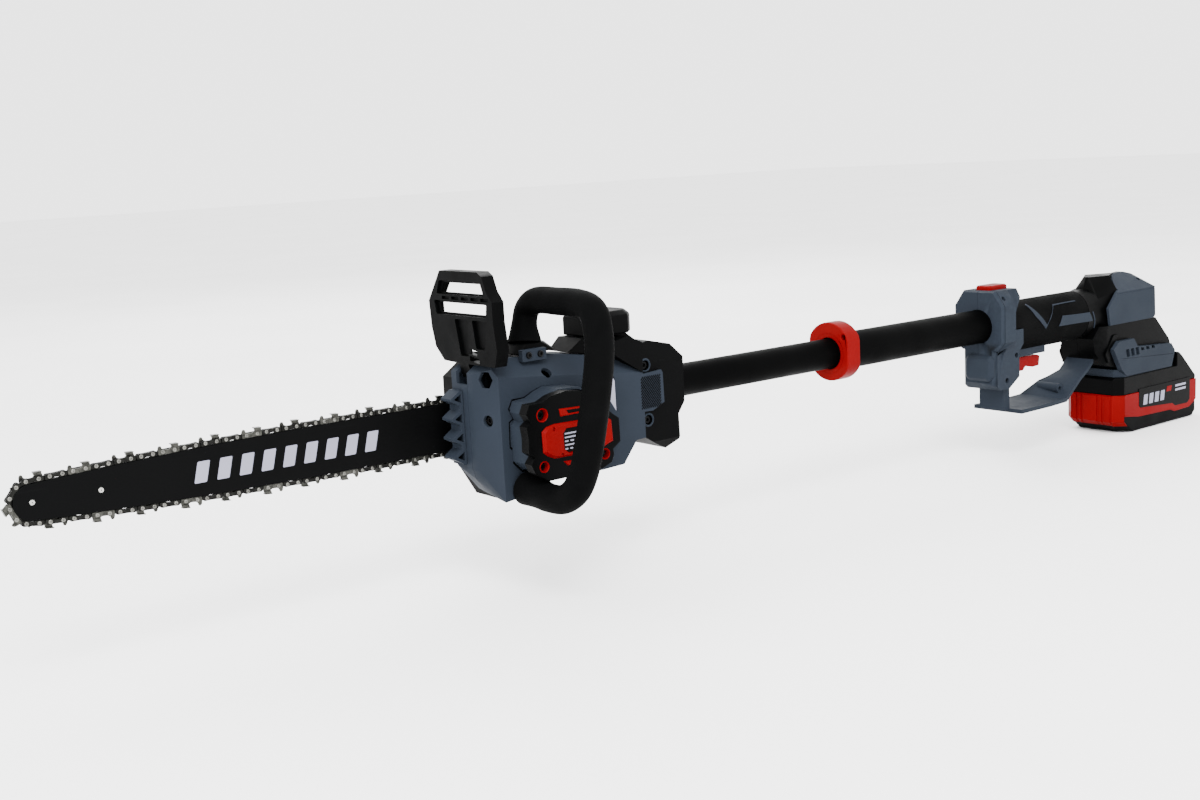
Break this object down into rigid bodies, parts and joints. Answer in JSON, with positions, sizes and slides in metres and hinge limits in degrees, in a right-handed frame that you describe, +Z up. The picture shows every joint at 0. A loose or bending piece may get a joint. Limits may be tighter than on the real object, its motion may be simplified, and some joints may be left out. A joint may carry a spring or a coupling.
{
  "type": "telescoping pole saw",
  "caption": "Battery powered pole saw: chain and bar on a motor head with a hand guard and wrap handle, a telescoping pole, and a rear grip with trigger and battery.",
  "frame": {"origin": "middle of the battery pack's flat base", "axes": "+X along the pole from the bar tip to the battery, +Z up with the battery hanging below the pole, -Y the motor side and +Y the bar side of the head"},
  "size_m": [1.2205, 0.1651, 0.2345],
  "materials": {
    "slate_plastic": "satin moulded",
    "black_plastic": "fine grained",
    "soft_rubber": "matt",
    "red_plastic": "semi gloss",
    "coated_tube": "satin powder coat",
    "coated_bar": "satin paint",
    "steel": "oiled",
    "winding": "lacquered copper",
    "tank_plastic": "milky",
    "circuit_board": "lacquered",
    "cell_cans": "wrapped"
  },
  "bodies": {
    "rear_handle": {"outer_tube": "coated_tube", "slide_bush": "black_plastic", "pole_lead": "soft_rubber", "trigger_housing_near": "slate_plastic", "trigger_housing_far": "slate_plastic", "trigger_bezel": "slate_plastic", "trigger_pin": "steel", "trigger_switch": "black_plastic", "trigger_spring": "steel", "lock_spring": "steel", "grip_near": "soft_rubber", "grip_far": "soft_rubber", "rear_body_near": "black_plastic", "rear_body_far": "black_plastic", "rear_cap": "slate_plastic", "vent_panel_near": "slate_plastic", "vent_panel_far": "slate_plastic", "battery_shoe": "slate_plastic", "terminal_block": "black_plastic", "control_board": "circuit_board", "support_foot": "slate_plastic"},
    "head": {"guide_bar": "coated_bar", "saw_chain": "steel", "bar_stud_front": "steel", "bar_nut_front": "steel", "bar_stud_rear": "steel", "bar_nut_rear": "steel", "head_shell_near": "slate_plastic", "head_shell_far": "slate_plastic", "motor_cowl": "slate_plastic", "motor_cover": "black_plastic", "motor_cover_frame": "red_plastic", "chain_cover": "black_plastic", "bumper_spikes": "slate_plastic", "front_handle": "soft_rubber", "handle_foot": "black_plastic", "handle_clamp_plate": "slate_plastic", "guard_pivot_pin": "steel", "motor_stator": "winding", "motor_bearing_near": "steel", "motor_bearing_far": "steel", "brake_switch": "black_plastic", "oil_tank": "tank_plastic", "oil_pump": "steel", "top_cowl": "black_plastic", "pole_socket": "black_plastic", "inner_tube": "coated_tube"},
    "rotor": {"motor_rotor": "steel", "drive_sprocket": "steel"},
    "tip_sprocket": {"nose_sprocket": "steel"},
    "guard": {"hand_guard": "black_plastic"},
    "filler_cap": {"oil_cap": "black_plastic"},
    "collar": {"clamp_collar": "red_plastic"},
    "trigger_lever": {"trigger": "red_plastic"},
    "lock": {"lock_button": "red_plastic"},
    "battery": {"battery_tray": "black_plastic", "battery_band": "red_plastic", "battery_cover": "black_plastic", "cell_pack": "cell_cans"},
    "battery_release": {"battery_button": "red_plastic"}
  },
  "joints": [
    {"name": "pole_slide", "type": "slide", "parent": "rear_handle", "child": "head", "axis": [-1, 0, 0], "range_m": [-0.11, 0.17]},
    {"name": "collar_twist", "type": "hinge", "parent": "rear_handle", "child": "collar", "pos_m": [-0.459, 0, 0.1305], "axis": [-1, 0, 0], "range_deg": [0, 80]},
    {"name": "trigger_pull", "type": "hinge", "parent": "rear_handle", "child": "trigger_lever", "pos_m": [-0.213, 0, 0.099], "axis": [0, -1, 0], "range_deg": [0, 10], "stiffness_Nm_per_rad": 0.25, "springref_deg": -8.59, "deforming": ["trigger_spring"]},
    {"name": "lock_button_press", "type": "slide", "parent": "rear_handle", "child": "lock", "axis": [0, 0, -1], "range_m": [0, 0.0035], "stiffness_N_per_m": 250, "springref_m": -0.004, "deforming": ["lock_spring"]},
    {"name": "battery_slide", "type": "slide", "parent": "rear_handle", "child": "battery", "axis": [1, 0, 0], "range_m": [0, 0.12]},
    {"name": "battery_button_press", "type": "slide", "parent": "battery", "child": "battery_release", "axis": [-1, 0, 0], "range_m": [0, 0.003], "stiffness_N_per_m": 250, "springref_m": -0.004},
    {"name": "guard_pivot", "type": "hinge", "parent": "head", "child": "guard", "pos_m": [-0.827, 0, 0.1615], "axis": [0, -1, 0], "range_deg": [0, 18]},
    {"name": "oil_cap_turn", "type": "hinge", "parent": "head", "child": "filler_cap", "pos_m": [-0.719, -0.002, 0.1805], "axis": [0, 0, 1], "range_deg": [0, 180]},
    {"name": "drive_sprocket_spin", "type": "hinge", "parent": "head", "child": "rotor", "pos_m": [-0.782, 0.03, 0.1185], "axis": [0, 1, 0], "continuous": true},
    {"name": "nose_sprocket_spin", "type": "hinge", "parent": "head", "child": "tip_sprocket", "pos_m": [-1.133, 0.03, 0.1205], "axis": [0, 1, 0], "continuous": true}
  ],
  "couplings": [
    {"joint": "nose_sprocket_spin", "follows": "drive_sprocket_spin", "ratio": 0.72727}
  ]
}
